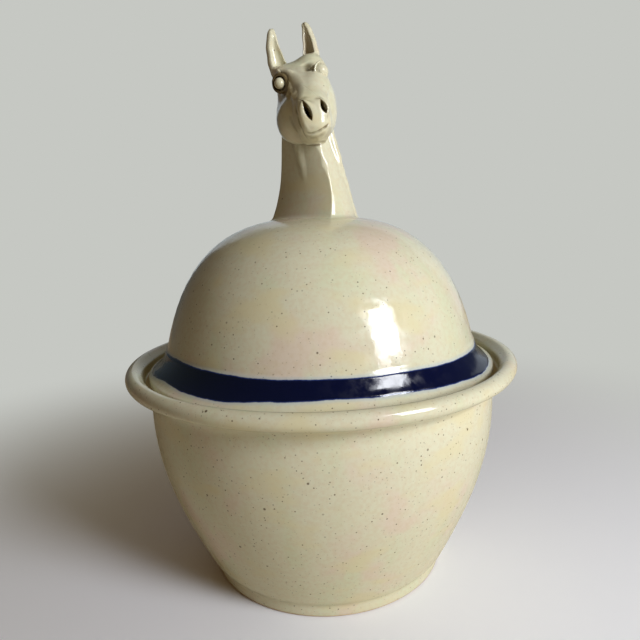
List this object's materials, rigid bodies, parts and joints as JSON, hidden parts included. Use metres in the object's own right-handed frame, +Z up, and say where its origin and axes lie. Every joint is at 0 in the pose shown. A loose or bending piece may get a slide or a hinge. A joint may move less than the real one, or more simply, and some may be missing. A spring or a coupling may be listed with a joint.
{
  "type": "covered serving dish",
  "caption": "Stoneware serving bowl with a rolled, galleried rim and a domed lid that lifts off by a modelled llama head on a tall neck; cobalt band round the lid's flange.",
  "frame": {"origin": "on the table at the centre of the bowl's foot ring", "axes": "+Z up along the axis of the bowl and lid, -Y towards the viewer, where the llama looks, +X to the viewer's right"},
  "size_m": [0.2408, 0.2408, 0.3323],
  "materials": {
    "cream_glaze": "glossy ivory glaze with fine iron specks",
    "cobalt_glaze": "glossy near-black cobalt glaze"
  },
  "bodies": {
    "bowl": {"bowl": "cream_glaze"},
    "lid": {"lid_dome": "cream_glaze", "cobalt_band": "cobalt_glaze", "finial_neck": "cream_glaze", "finial_head": "cream_glaze", "lower_jaw": "cream_glaze", "eye_left": "cream_glaze", "eyelid_left": "cream_glaze", "ear_left": "cream_glaze", "eye_right": "cream_glaze", "eyelid_right": "cream_glaze", "ear_right": "cream_glaze"}
  },
  "joints": [
    {"name": "lid_lift", "type": "slide", "parent": "bowl", "child": "lid", "axis": [0, 0, 1], "range_m": [0, 0.16]}
  ]
}
